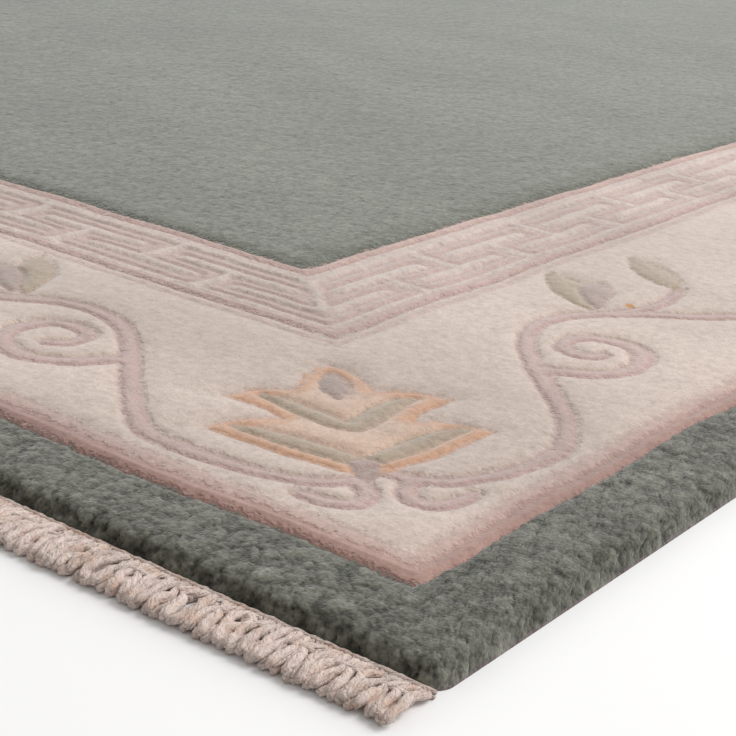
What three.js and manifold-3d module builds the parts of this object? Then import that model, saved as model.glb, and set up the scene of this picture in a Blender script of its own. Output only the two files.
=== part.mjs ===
// A carved Chinese wool rug lying flat on the floor.
// The pile stands on its woven foundation as one solid, with rounded edges and carved lines that
// frame the borders. A cotton fringe, a narrow braid with knotted tassels, closes each short end.
// Millimetres, +Z up, +Y along the rug, the origin on the floor under its middle.
import * as THREE from 'three';
import { mergeVertices } from 'three/addons/utils/BufferGeometryUtils.js';
import Module from 'manifold-3d';

// Driving dimensions of the pile rug
const RUG_WIDTH = 1700;
const RUG_LENGTH = 2400;
const PILE_TOP = 11;
const SIDE_BAND = 43;
const END_BAND = 48;

// Section of the pile's outer edge, from the floor up and in
const EDGE_SECTION = [
  { inset: 0, height: 0 },
  { inset: 0, height: 3 },
  { inset: 0.5, height: 6.5 },
  { inset: 2.4, height: 9.4 },
  { inset: 6, height: 10.7 },
  { inset: 12, height: PILE_TOP },
];

// Lines carved round the rug, measured inwards from the outer edge of the pink stripe
const CARVED_LINES = [
  { line: 'green band to pink stripe', inward: 0, width: 5, depth: 1.6 },
  { line: 'between the pink stripes', inward: 11, width: 4, depth: 2.2 },
  { line: 'pink stripe to main border', inward: 19, width: 4, depth: 1.2 },
  { line: 'main border to guard line', inward: 194, width: 4, depth: 1.2 },
  { line: 'guard line to mauve rail', inward: 204, width: 5, depth: 2.4 },
  { line: 'fret to inner rail', inward: 271, width: 4, depth: 1.8 },
  { line: 'inner rail to pink line', inward: 286, width: 4, depth: 1.8 },
  { line: 'pink line to field', inward: 296, width: 5, depth: 2 },
];

// Driving dimensions of a fringe
const SEAM_GAP = 0.3;
const BRAID_WIDTH = 5;
const BRAID_HEIGHT = 3;
const BRAID_CHAMFER = 0.8;
const TASSELS = 81;

// Section of one tassel, from the braid to its cut end; it starts inside the braid
const TASSEL_SECTIONS = [
  { place: 'root', reach: -2, halfWidth: 5.5, height: 2.4 },
  { place: 'neck', reach: 3, halfWidth: 4.6, height: 4 },
  { place: 'knot', reach: 8, halfWidth: 6.6, height: 7 },
  { place: 'below the knot', reach: 14, halfWidth: 5.4, height: 5 },
  { place: 'cut end', reach: 26, halfWidth: 8.2, height: 3 },
];
const TASSEL_TOP_SHARE = 0.62;

const woolPile = new THREE.MeshStandardMaterial({ color: 0x919287, roughness: 1, metalness: 0 });
const cottonFringe = new THREE.MeshStandardMaterial({ color: 0xc9b9ac, roughness: 0.95, metalness: 0 });

const wasm = await Module();
wasm.setup();

// A closed skin over a stack of loops with equally many points, capped flat at both ends
function skinLoops(loops) {
  const sides = loops[0].length;
  const positions = loops.flat(2);
  const triangles = [];
  for (let level = 0; level + 1 < loops.length; level += 1) {
    for (let side = 0; side < sides; side += 1) {
      const here = level * sides + side;
      const next = level * sides + ((side + 1) % sides);
      triangles.push(here, next, next + sides);
      triangles.push(here, next + sides, here + sides);
    }
  }
  const last = (loops.length - 1) * sides;
  for (let side = 1; side + 1 < sides; side += 1) {
    triangles.push(0, side + 1, side);
    triangles.push(last, last + side, last + side + 1);
  }
  const geometry = new THREE.BufferGeometry();
  geometry.setAttribute('position', new THREE.Float32BufferAttribute(positions, 3));
  geometry.setIndex(triangles);
  return geometry;
}

// One level of the rug: a rectangle about the origin, anticlockwise from above
function rectangleLoop(halfWidth, halfLength, height) {
  return [
    [-halfWidth, -halfLength, height],
    [halfWidth, -halfLength, height],
    [halfWidth, halfLength, height],
    [-halfWidth, halfLength, height],
  ];
}

function edgeLoop({ inset, height }) {
  return rectangleLoop(RUG_WIDTH / 2 - inset, RUG_LENGTH / 2 - inset, height);
}

function borderLoop(inward, height) {
  const halfWidth = RUG_WIDTH / 2 - SIDE_BAND - inward;
  const halfLength = RUG_LENGTH / 2 - END_BAND - inward;
  return rectangleLoop(halfWidth, halfLength, height);
}

// A carved line is a soft V: down from the pile's top and up again
function carvedLoops({ inward, width, depth }) {
  return [
    borderLoop(inward - width / 2, PILE_TOP),
    borderLoop(inward, PILE_TOP - depth),
    borderLoop(inward + width / 2, PILE_TOP),
  ];
}

function pileRug() {
  const loops = [...EDGE_SECTION.map(edgeLoop), ...CARVED_LINES.flatMap(carvedLoops)];
  return skinLoops(loops);
}

// The braid is a flat strip with broken upper edges, along X, its seam edge at y = 0
function braid() {
  const section = new THREE.Shape();
  section.moveTo(0, 0);
  section.lineTo(BRAID_WIDTH, 0);
  section.lineTo(BRAID_WIDTH, BRAID_HEIGHT - BRAID_CHAMFER);
  section.lineTo(BRAID_WIDTH - BRAID_CHAMFER, BRAID_HEIGHT);
  section.lineTo(BRAID_CHAMFER, BRAID_HEIGHT);
  section.lineTo(0, BRAID_HEIGHT - BRAID_CHAMFER);
  section.closePath();
  const strip = new THREE.ExtrudeGeometry(section, { depth: RUG_WIDTH, bevelEnabled: false, steps: 1 });
  // The section's own axes become -Y and +Z, and its depth runs along -X
  const stand = new THREE.Matrix4().makeBasis(
    new THREE.Vector3(0, -1, 0),
    new THREE.Vector3(0, 0, 1),
    new THREE.Vector3(-1, 0, 0),
  );
  return strip.applyMatrix4(stand).translate(RUG_WIDTH / 2, 0, 0);
}

// One tassel lying flat: bunched at its neck, thick at its knot, spread at its cut end
function tassel(middle) {
  const loops = TASSEL_SECTIONS.map(({ reach, halfWidth, height }) => {
    const y = -BRAID_WIDTH - reach;
    const topHalf = halfWidth * TASSEL_TOP_SHARE;
    return [
      [middle - halfWidth, y, 0],
      [middle + halfWidth, y, 0],
      [middle + topHalf, y, height],
      [middle - topHalf, y, height],
    ];
  });
  return skinLoops(loops);
}

function toSolid(geometry) {
  const bare = geometry.clone();
  bare.deleteAttribute('normal');
  bare.deleteAttribute('uv');
  const merged = mergeVertices(bare, 1e-4);
  const mesh = new wasm.Mesh({
    numProp: 3,
    vertProperties: new Float32Array(merged.attributes.position.array),
    triVerts: new Uint32Array(merged.index.array),
  });
  return new wasm.Manifold(mesh);
}

function toGeometry(solid) {
  const mesh = solid.getMesh();
  const geometry = new THREE.BufferGeometry();
  geometry.setAttribute('position', new THREE.Float32BufferAttribute(mesh.vertProperties, 3));
  geometry.setIndex(Array.from(mesh.triVerts));
  return geometry;
}

// A fringe is one comb: the braid is its back and the tassels are its teeth
function fringe() {
  const pitch = RUG_WIDTH / TASSELS;
  let comb = toSolid(braid());
  for (let index = 0; index < TASSELS; index += 1) {
    const middle = (index + 0.5) * pitch - RUG_WIDTH / 2;
    comb = comb.add(toSolid(tassel(middle)));
  }
  return toGeometry(comb);
}

function node(name, geometry, material) {
  const mesh = new THREE.Mesh(geometry, material);
  mesh.name = name;
  return mesh;
}

const rug = new THREE.Group();
rug.add(node('pile_rug', pileRug(), woolPile));

const fringeGeometry = fringe();
const frontFringe = node('fringe_front', fringeGeometry, cottonFringe);
frontFringe.position.y = -RUG_LENGTH / 2 - SEAM_GAP;
rug.add(frontFringe);

const backFringe = node('fringe_back', fringeGeometry, cottonFringe);
backFringe.position.y = RUG_LENGTH / 2 + SEAM_GAP;
backFringe.rotation.z = Math.PI;
rug.add(backFringe);

export default rug;
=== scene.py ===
# A carved Chinese wool rug lying flat on the floor: a plain sage field, a key fret guard, a cream border with
# lotus and scrolling vine, a dark edge band, and a knotted cotton fringe along each short end.
# Metres, +Z up, +Y along the rug; plan sizes are in millimetres and become metres where a mesh is made.
import math

import bpy
import numpy as np
from mathutils import Matrix, Vector, geometry, noise


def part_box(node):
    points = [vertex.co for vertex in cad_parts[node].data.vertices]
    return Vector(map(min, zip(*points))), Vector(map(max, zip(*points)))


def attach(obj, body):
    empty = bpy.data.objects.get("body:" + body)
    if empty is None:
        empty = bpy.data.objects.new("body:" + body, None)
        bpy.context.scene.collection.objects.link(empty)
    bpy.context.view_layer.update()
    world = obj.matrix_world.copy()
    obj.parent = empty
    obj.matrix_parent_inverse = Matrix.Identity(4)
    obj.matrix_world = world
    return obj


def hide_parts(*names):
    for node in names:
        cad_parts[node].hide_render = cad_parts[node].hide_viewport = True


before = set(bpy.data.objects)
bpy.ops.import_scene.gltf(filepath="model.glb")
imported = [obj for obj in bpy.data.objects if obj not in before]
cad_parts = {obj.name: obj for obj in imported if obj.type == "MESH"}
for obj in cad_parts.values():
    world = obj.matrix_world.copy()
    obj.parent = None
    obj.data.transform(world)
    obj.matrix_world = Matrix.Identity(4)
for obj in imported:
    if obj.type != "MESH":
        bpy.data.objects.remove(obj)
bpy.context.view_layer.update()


# Viewpoint
# A low look across the front right corner of the rug, with a long lens, tilted a little to the right.
# The camera stands outside the corner, about as high over the pile as the border is wide.
MM = 0.001
rug_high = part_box("pile_rug")[1]
RUG_HALF_X = rug_high[0] / MM
RUG_HALF_Y = rug_high[1] / MM
PILE_TOP = rug_high[2] / MM

CAMERA_RIGHT_OF_CORNER = 275.0
CAMERA_BEFORE_CORNER = 446.4
CAMERA_OVER_PILE = 300.0
CAMERA_AZIMUTH = math.radians(35.38)
CAMERA_PITCH = math.radians(19.95)
CAMERA_ROLL = math.radians(4.54)
CAMERA_LENS = 82.76
CAMERA_SENSOR = 36.0

camera_data = bpy.data.cameras.new("camera")
camera_data.lens = CAMERA_LENS
camera_data.sensor_width = CAMERA_SENSOR
camera = bpy.data.objects.new("camera", camera_data)
bpy.context.scene.collection.objects.link(camera)
camera_place = Vector((
    RUG_HALF_X + CAMERA_RIGHT_OF_CORNER,
    -RUG_HALF_Y - CAMERA_BEFORE_CORNER,
    PILE_TOP + CAMERA_OVER_PILE,
)) * MM
camera.matrix_world = (
    Matrix.Translation(camera_place)
    @ Matrix.Rotation(CAMERA_AZIMUTH, 4, "Z")
    @ Matrix.Rotation(math.pi / 2 - CAMERA_PITCH, 4, "X")
    @ Matrix.Rotation(CAMERA_ROLL, 4, "Z")
)
bpy.context.scene.camera = camera
bpy.context.scene.view_settings.view_transform = "Standard"


# Floor and light
# A plain pale studio floor under the rug. A wide soft light stands to the right of the rug, so that the end
# towards the camera lies in shade, a lower one grazes the field from behind, and an even surround fills in.
FLOOR_HALF = 6.0
FLOOR_GREY = 0.84
FLOOR_ROUGHNESS = 0.9
LIGHTS = [
    {"name": "key_light", "place": (2.5, 0.8, 2.5), "aim": (0.3, -0.6, 0.0), "size": 2.4, "watts": 112.0},
    {"name": "back_light", "place": (-1.9, 3.6, 1.4), "aim": (0.0, 0.4, 0.0), "size": 1.6, "watts": 80.0},
]
SURROUND_COLOUR = (1.0, 0.99, 0.975, 1.0)
SURROUND_STRENGTH = 0.57


def add_node(tree, kind, inputs=None, **settings):
    """A node with its settings and inputs; an input is a value or the socket that feeds it."""
    made = tree.nodes.new(kind)
    for name, value in settings.items():
        setattr(made, name, value)
    for key, value in (inputs or {}).items():
        if isinstance(value, bpy.types.NodeSocket):
            tree.links.new(value, made.inputs[key])
        else:
            made.inputs[key].default_value = value
    return made


def new_material(name):
    """An empty node material with its Principled shader, both ready for links."""
    material = bpy.data.materials.new(name)
    material.use_nodes = True
    tree = material.node_tree
    shader = tree.nodes["Principled BSDF"]
    return material, tree, shader


floor_mesh = bpy.data.meshes.new("floor")
floor_corners = [(x * FLOOR_HALF, y * FLOOR_HALF, 0.0) for x, y in ((-1, -1), (1, -1), (1, 1), (-1, 1))]
floor_mesh.from_pydata(floor_corners, [], [(0, 1, 2, 3)])
floor = bpy.data.objects.new("floor", floor_mesh)
bpy.context.scene.collection.objects.link(floor)
floor_paint, floor_tree, floor_shader = new_material("floor_paint")
floor_shader.inputs["Base Color"].default_value = (FLOOR_GREY, FLOOR_GREY, FLOOR_GREY, 1.0)
floor_shader.inputs["Roughness"].default_value = FLOOR_ROUGHNESS
floor_mesh.materials.append(floor_paint)

for row in LIGHTS:
    light_data = bpy.data.lights.new(row["name"], "AREA")
    light_data.shape = "SQUARE"
    light_data.size = row["size"]
    light_data.energy = row["watts"]
    light = bpy.data.objects.new(row["name"], light_data)
    light.location = row["place"]
    light.rotation_euler = (Vector(row["aim"]) - Vector(row["place"])).to_track_quat("-Z", "Y").to_euler()
    bpy.context.scene.collection.objects.link(light)

surround = bpy.data.worlds.new("surround")
surround.use_nodes = True
surround.node_tree.nodes["Background"].inputs["Color"].default_value = SURROUND_COLOUR
surround.node_tree.nodes["Background"].inputs["Strength"].default_value = SURROUND_STRENGTH
bpy.context.scene.world = surround


# Plan of the rug
# The weaver's plan for one quarter of the rug: every stripe, the key fret, the vine and the lotus, measured
# from the outer corner of the pink stripe. The other three quarters are its mirror images.
SIDE_BAND = 43.0
END_BAND = 48.0
QUARTER_X = RUG_HALF_X - SIDE_BAND
QUARTER_Y = RUG_HALF_Y - END_BAND
FAR = 12.0

# Lines cut round the rug with the shears: place in from the pink stripe's outer edge, half width, depth
CARVED_LINES = [
    {"inward": 0.0, "half_width": 4.5, "depth": 2.4},
    {"inward": 11.0, "half_width": 4.5, "depth": 1.7},
    {"inward": 19.0, "half_width": 3.5, "depth": 1.0},
    {"inward": 194.0, "half_width": 3.0, "depth": 0.9},
    {"inward": 199.0, "half_width": 2.5, "depth": 0.7},
    {"inward": 204.0, "half_width": 4.0, "depth": 2.3},
    {"inward": 213.0, "half_width": 3.5, "depth": 1.2},
    {"inward": 279.0, "half_width": 3.0, "depth": 0.8},
    {"inward": 286.0, "half_width": 4.0, "depth": 1.9},
    {"inward": 296.0, "half_width": 4.5, "depth": 2.2},
]

# Lanes of the key fret, in from the pink stripe's outer edge
FRET_OUTER_RAIL = 220.0
FRET_INNER_HEAD = (229.0, 240.0)
FRET_OUTER_HEAD = (248.0, 261.0)
FRET_INNER_RAIL = 271.0
FRET_START = 256.0
FRET_HALF_STEM = 5.5
FRET_HEAD_SHORT = 13.0
FRET_HALF_MITRE = 5.0
FRET_STEPS_LONG = 15
FRET_STEPS_SHORT = 9
FRET_DEPTH = 2.3
FRET_HALF_GROOVE = 5.0
FRET_GROUND_DROP = 1.0
fret_step_long = (QUARTER_Y - FRET_START) / FRET_STEPS_LONG
fret_step_short = (QUARTER_X - FRET_START) / FRET_STEPS_SHORT

# The vine runs as a wave along each side, from its first outward crest to one at the middle of the side
VINE_FIRST_CREST = {"long": 151.0, "short": 161.0}
VINE_MIDDLE = 86.5
VINE_SWING = 54.0
VINE_HALF_WIDTH = 5.2
VINE_CRESTS_LONG = 6
VINE_CRESTS_SHORT = 4
VINE_STEP = 3.0
VINE_PAST_MIDDLE = 20.0
PATH_STEP = 6.0
DETAIL_STEP = 4.5
FINE_STEP = 4.0
SPAN_STEPS = 12
VINE_DROP = 0.7
MOTIF_DEPTH = 1.7
MOTIF_HALF_GROOVE = 4.6


def resample(path, step):
    """The same path with even steps; every column is carried along."""
    path = np.asarray(path, float)
    reach = np.r_[0.0, np.cumsum(np.linalg.norm(np.diff(path[:, :2], axis=0), axis=1))]
    at = np.linspace(0.0, reach[-1], max(2, int(round(reach[-1] / step)) + 1))
    return np.column_stack([np.interp(at, reach, column) for column in path.T])


def smooth_path(points, step=PATH_STEP):
    """A smooth curve through given points, in even steps."""
    points = np.asarray(points, float)
    ghosts = np.vstack([2 * points[0] - points[1], points, 2 * points[-1] - points[-2]])
    share = np.linspace(0.0, 1.0, SPAN_STEPS, endpoint=False)[:, None]
    spans = []
    for before, start, end, after in zip(ghosts, ghosts[1:], ghosts[2:], ghosts[3:]):
        curve = 2 * start + (end - before) * share
        curve = curve + (2 * before - 5 * start + 4 * end - after) * share**2
        curve = curve + (3 * start - before - 3 * end + after) * share**3
        spans.append(curve / 2)
    return resample(np.vstack([*spans, points[-1:]]), step)


def along_side(stroke, side):
    """A stroke given as inward, along and half width, turned onto the long or the short side."""
    return stroke if side == "long" else stroke[:, [1, 0, 2]]


# The vine leaves the lotus, swings out to its first crest and curls a hook towards the corner:
# inward, along, half width
VINE_ROOT = [(79, 79, 4.2), (61, 81, 4.4), (45, 96, 4.4), (35, 124, 4.6)]
CORNER_HOOK = [(61, 79, 4.5), (53, 65, 5.0), (41, 65, 5.0), (34, 77, 4.5), (33, 88, 3.5)]

# A spiral leaves the vine before each crest and winds in: turn in degrees, radius, half width
SPIRAL_BEFORE_CREST = 19.5
SPIRAL_CENTRE_INWARD = 91.5
SPIRAL_BRANCH = 72.0
SPIRAL_BRANCH_HALF_WIDTH = 4.8
SPIRAL_TURNS = [
    (0, 45, 5.4), (30, 36, 5.6), (70, 29.5, 5.8), (115, 26, 5.8), (165, 25, 5.6),
    (215, 25, 5.4), (255, 23, 5.2), (300, 19, 5.0), (355, 11.5, 4.6), (430, 6, 4.0),
]

# Leaves on the field side of the vine, from a crest onwards: inward, along from the crest, half width
GREY_LEAF = [(133, 47, 2.5), (145, 57, 7.5), (159, 69, 12.0), (173, 81, 10.0), (188, 93, 1.5)]
LILAC_LEAF = [(131, 54, 2.5), (137, 62, 5.5), (144, 73, 8.5), (150, 83, 10.0), (154, 90, 8.5)]
SPRIG = [(123, 44, 4.0), (116, 60, 4.3), (111, 80, 4.3), (111, 102, 4.1), (117, 128, 3.4)]
SPRIG_LEAF = [(118, 126, 2.5), (130, 136, 9.0), (148, 151, 11.5), (168, 165, 1.5)]
STEM_KNOT = [(120, 71, 2.6), (121, 71, 2.6)]


def vine_place(along, first_crest, half_wave):
    """How far in the vine lies at a place along the side."""
    return VINE_MIDDLE - VINE_SWING * np.cos(math.pi * (along - first_crest) / half_wave)


def spiral_stroke(crest, first_crest, half_wave, outward):
    """A spiral in the bay of one crest; in an outward bay it is turned half round."""
    branch = crest - SPIRAL_BRANCH
    rows = [(float(vine_place(branch, first_crest, half_wave)), branch, SPIRAL_BRANCH_HALF_WIDTH)]
    for turn, radius, width in SPIRAL_TURNS:
        angle = math.radians(-90 - turn)
        inward = SPIRAL_CENTRE_INWARD + radius * math.cos(angle)
        rows.append((inward, crest - SPIRAL_BEFORE_CREST + radius * math.sin(angle), width))
    stroke = smooth_path(rows, DETAIL_STEP)
    if outward:
        stroke[:, 0] = 2 * VINE_MIDDLE - stroke[:, 0]
        stroke[:, 1] = 2 * crest + half_wave - stroke[:, 1]
    return stroke


def from_crest(rows, crest):
    """Given rows of inward, along and half width, moved along to a crest."""
    return smooth_path([(inward, crest + along, width) for inward, along, width in rows], DETAIL_STEP)


# The lotus, from its base to its tip: half of the outline, and the strokes laid inside it
LOTUS_CORNER_BASE = 104.0
LOTUS_CORNER_SHIFT = 6.5
LOTUS_MIDDLE_BASE = 41.0
LOTUS_REACH = 130.0
LOTUS_HALF_OUTLINE = [
    (0, 144), (9, 134), (16, 120), (20, 105), (31, 106), (44, 104), (57, 97), (47, 87), (37, 77),
    (31, 67), (43, 68), (57, 63), (70, 55), (55, 40), (36, 24), (18, 10), (0, 0),
]
LOTUS_CHEVRONS = [
    [(38, 97, 2.0), (30, 91, 5.0), (16, 75, 6.6), (7, 63, 6.2), (0, 56, 5.0)],
    [(56, 58, 2.0), (44, 51, 5.4), (24, 34, 6.8), (10, 22, 6.2), (0, 16, 5.0)],
]
LOTUS_HEART = [(0, 95, 1.5), (0, 103, 6.0), (0, 112, 7.6), (0, 122, 5.6), (0, 131, 1.5)]
LOTUS_CALYX = [(0, 2, 5.0), (0, 13, 7.5)]


def mirrored_chevron(arm):
    """One arm of a chevron and its mirror image, as a single stroke."""
    other = [(-side, height, width) for side, height, width in reversed(arm[:-1])]
    return resample([*arm, *other], DETAIL_STEP)


def lotus_strokes(base, upward, sideways):
    """The lotus set on its base in the plan: its outline, grey strokes and lilac strokes."""
    def place(rows):
        rows = np.asarray(rows, float)
        spots = base + rows[:, :1] * sideways + rows[:, 1:2] * upward
        return np.column_stack([spots, rows[:, 2:]])

    half = LOTUS_HALF_OUTLINE
    outline = place([*half, *[(-side, height) for side, height in reversed(half[1:-1])]])
    grey = [place(mirrored_chevron(arm)) for arm in LOTUS_CHEVRONS]
    lilac = [place(smooth_path(LOTUS_HEART, FINE_STEP)), place(resample(LOTUS_CALYX, FINE_STEP))]
    return outline, grey, lilac


# All strokes of the quarter, by yarn
strokes = {"mauve": [], "grey": [], "lilac": [], "ochre": []}
outlines = []
for side, side_length, crests in (
    ("long", QUARTER_Y, VINE_CRESTS_LONG),
    ("short", QUARTER_X, VINE_CRESTS_SHORT),
):
    first_crest = VINE_FIRST_CREST[side]
    half_wave = (side_length - first_crest) / crests
    wave_along = np.arange(first_crest, side_length + VINE_PAST_MIDDLE, VINE_STEP)
    wave_inward = vine_place(wave_along, first_crest, half_wave)
    wave = np.column_stack([wave_inward, wave_along, np.full(len(wave_along), VINE_HALF_WIDTH)])
    drawn = {"mauve": [resample(wave, PATH_STEP)], "grey": [], "lilac": [], "ochre": []}
    drawn["mauve"].append(smooth_path([*VINE_ROOT, tuple(wave[0])]))
    drawn["mauve"].append(smooth_path(CORNER_HOOK, FINE_STEP))
    for number in range(1, crests):
        crest = first_crest + number * half_wave
        outward = number % 2 == 0
        drawn["mauve"].append(spiral_stroke(crest, first_crest, half_wave, outward))
        if not outward and number + 1 < crests:
            drawn["mauve"].append(from_crest(SPRIG, crest))
            drawn["grey"].append(from_crest(GREY_LEAF, crest))
            drawn["grey"].append(from_crest(SPRIG_LEAF, crest))
            drawn["lilac"].append(from_crest(LILAC_LEAF, crest))
            drawn["ochre"].append(from_crest(STEM_KNOT, crest))
    for yarn, made in drawn.items():
        strokes[yarn] += [along_side(stroke, side) for stroke in made]

diagonal = np.array([1.0, 1.0]) / math.sqrt(2)
across_diagonal = np.array([1.0, -1.0]) / math.sqrt(2)
for base, upward, sideways in (
    (LOTUS_CORNER_BASE * diagonal + LOTUS_CORNER_SHIFT * across_diagonal, diagonal, across_diagonal),
    (np.array([LOTUS_MIDDLE_BASE, QUARTER_Y]), np.array([1.0, 0.0]), np.array([0.0, 1.0])),
    (np.array([QUARTER_X, LOTUS_MIDDLE_BASE]), np.array([0.0, 1.0]), np.array([1.0, 0.0])),
):
    outline, grey, lilac = lotus_strokes(base, upward, sideways)
    outlines.append(outline)
    strokes["grey"] += grey
    strokes["lilac"] += lilac


def inside_stroke(points, stroke):
    """How far inside a stroke each point lies; negative outside, down to -FAR."""
    depth = np.full(len(points), -FAR)
    margin = stroke[:, 2].max() + FAR
    low = stroke[:, :2].min(0) - margin
    high = stroke[:, :2].max(0) + margin
    near = ((points > low) & (points < high)).all(1)
    span = np.diff(stroke, axis=0)
    from_start = points[near][:, None, :] - stroke[None, :-1, :2]
    share = (from_start * span[:, :2]).sum(-1) / (span[:, :2] ** 2).sum(-1)
    share = np.clip(share, 0.0, 1.0)
    gap = np.linalg.norm(from_start - share[..., None] * span[:, :2], axis=-1)
    width = stroke[:-1, 2] + share * span[:, 2]
    depth[near] = (width - gap).max(1)
    return np.maximum(depth, -FAR)


def inside_outline(points, outline):
    """How far inside a closed outline each point lies; negative outside, down to -FAR."""
    start = outline
    end = np.roll(outline, -1, axis=0)
    span = end - start
    from_start = points[:, None, :] - start
    share = np.clip((from_start * span).sum(-1) / (span**2).sum(-1), 0.0, 1.0)
    gap = np.linalg.norm(from_start - share[..., None] * span, axis=-1).min(1)
    x, y = points[:, :1], points[:, 1:]
    rises = (start[:, 1] > y) != (end[:, 1] > y)
    drop = np.where(span[:, 1] == 0, 1.0, span[:, 1])
    crosses = rises & (x < start[:, 0] + (y - start[:, 1]) * span[:, 0] / drop)
    sign = np.where(crosses.sum(1) % 2 == 1, 1.0, -1.0)
    return np.maximum(sign * gap, -FAR)


def inside_bar(inward, low, high, offset, half):
    """How far inside a straight bar of the fret; negative outside."""
    return np.minimum(np.minimum(inward - low, high - inward), half - np.abs(offset))


def inside_fret(points):
    """How far inside the pale lines of the key fret each point lies: two rails and the T bars between."""
    inward = points.min(1)
    along = points.max(1)
    step = np.where(points[:, 1] >= points[:, 0], fret_step_long, fret_step_short)
    place = (along - FRET_START) / step
    inner = np.maximum(2 * np.round(place / 2), 0)
    outer = np.maximum(2 * np.round((place - 1) / 2) + 1, 1)
    to_inner = (place - inner) * step
    to_outer = (place - outer) * step
    half_head = step - FRET_HEAD_SHORT
    at_corner = inner == 0
    pale = np.maximum(inward - FRET_INNER_RAIL, FRET_OUTER_RAIL - inward)
    head_offset = np.where(at_corner, np.maximum(to_inner, 0.0), to_inner)
    pale = np.maximum(pale, inside_bar(inward, *FRET_INNER_HEAD, head_offset, half_head))
    pale = np.maximum(pale, inside_bar(inward, *FRET_OUTER_HEAD, to_outer, half_head))
    stem_run = (sum(FRET_INNER_HEAD) / 2, FRET_INNER_RAIL + FAR)
    inner_stem = inside_bar(inward, *stem_run, to_inner, FRET_HALF_STEM)
    mitre = inside_bar(inward, *stem_run, (along - inward) / math.sqrt(2), FRET_HALF_MITRE)
    pale = np.maximum(pale, np.where(at_corner, mitre, inner_stem))
    stem_run = (FRET_OUTER_RAIL - FAR, sum(FRET_OUTER_HEAD) / 2)
    outer_stem = inside_bar(inward, *stem_run, to_outer, FRET_HALF_STEM)
    return np.clip(np.maximum(pale, outer_stem), -FAR, FAR)


def inside_yarn(points, yarn):
    """How far inside a yarn's strokes each point lies."""
    depth = np.full(len(points), -FAR)
    for stroke in strokes[yarn]:
        depth = np.maximum(depth, inside_stroke(points, stroke))
    return depth


def inside_peach(points):
    """How far inside a lotus each point lies."""
    depth = np.full(len(points), -FAR)
    for outline in outlines:
        near = np.linalg.norm(points - outline.mean(0), axis=1) < LOTUS_REACH
        depth[near] = np.maximum(depth[near], inside_outline(points[near], outline))
    return depth


# Pile rug
# Wool knotted on a cotton foundation, clipped level, then carved with shears along every change of colour, so
# each stripe and stroke stands up rounded between soft cuts. It lies loose on the floor.
STRIPE_STEP = 13.0
FIELD_STEP = 22.0
BORDER_STEP = 12.0
BAND_STEP = 10.0
FEATURE_GAP = 1.3
EDGE_BESIDE = 1.9
OUTLINE_STEPS = (0.0, -EDGE_BESIDE, EDGE_BESIDE, 4.2)
OUTLINE_RUN = 5.0
END_TURNS = (-0.8, 0.0, 0.8)
FRET_HEAD_BESIDE = 8.0
FRET_CORNER = FRET_START - 12.0
FRET_LINES_FROM = 180.0
FRET_REACH = 6.0
BAND_RINGS = (12.0, 33.0)
ROW_SHARE = 0.87
THIN_CELL = 8.0
EDGE_CLEAR = 2.0
MIDDLE_POINTS = (45, 60)
BORDER_FILL = (20.0, 200.0)
FIELD_FILL = -30.0
BAND_GAP = 5.0
BORDER_GAP = 8.4
FIELD_GAP = 13.2
CUT_MERGE = 1e-5
GROOVE_CURVE = 1.4
FRET_GROUND_RUN = 3.0
MOTIF_RUN = 2.0
BAND_DROP_RUN = 5.0
LOWEST_PILE = 0.5
HIGHEST_RISE = 0.4
BAND_DROP = 3.2
BACK_STEP = 120.0
BACK_MARGINS = (60.0, 30.0)
UNEVEN_HEIGHT = 0.35
UNEVEN_SIZE = 38.0
WAVERS = [{"size": 75.0, "shift": 2.6}, {"size": 21.0, "shift": 1.5}]
WAVER_LAYERS = (11.0, 57.0)
RIM_INSET = 3.0

# Section of the pile's outer edge, in from the edge and up from the floor
EDGE_INSET = np.array([0.0, 0.0, 0.6, 2.4, 5.5, 10.0, 17.0])
EDGE_HEIGHT = np.array([0.0, 2.5, 5.4, 8.0, 9.7, 10.6, PILE_TOP])


def even_steps(start, end, step):
    """Even places from start to end, both included."""
    return np.linspace(start, end, max(2, int(math.ceil((end - start) / step)) + 1))


def ring_points(inward, places):
    """Points on a line round the quarter at one distance in from the pink stripe."""
    rows = [np.array([[inward, inward]])]
    for side, run in places.items():
        run = run[run > inward + FEATURE_GAP]
        pair = [np.full(len(run), inward), run]
        rows.append(np.column_stack(pair if side == "long" else pair[::-1]))
    return np.vstack(rows)


def stroke_points(stroke):
    """Points on both edges of a stroke, beside them and round its ends."""
    ahead = np.gradient(stroke[:, :2], axis=0)
    ahead = ahead / np.linalg.norm(ahead, axis=1, keepdims=True)
    across = np.column_stack([-ahead[:, 1], ahead[:, 0]])
    width = stroke[:, 2:]
    rows = [stroke[:, :2]]
    for out in OUTLINE_STEPS:
        reach = np.maximum(width + out, 0.0)
        rows += [stroke[:, :2] + across * reach, stroke[:, :2] - across * reach]
        for end, sign in ((0, -1.0), (-1, 1.0)):
            for turn in END_TURNS:
                way = sign * ahead[end] * math.cos(turn) + across[end] * math.sin(turn)
                rows.append((stroke[end, :2] + way * reach[end])[None])
    return np.vstack(rows)


def outline_points(outline, step):
    """Points on a closed outline and beside it."""
    closed = np.vstack([outline, outline[:1]])
    rows = []
    for start, end in zip(closed, closed[1:]):
        length = np.linalg.norm(end - start)
        ahead = (end - start) / length
        across = np.array([-ahead[1], ahead[0]])
        run = even_steps(0.0, length, step)[:, None]
        rows += [start + ahead * run + across * out for out in OUTLINE_STEPS[:3]]
    return np.vstack(rows)


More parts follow.
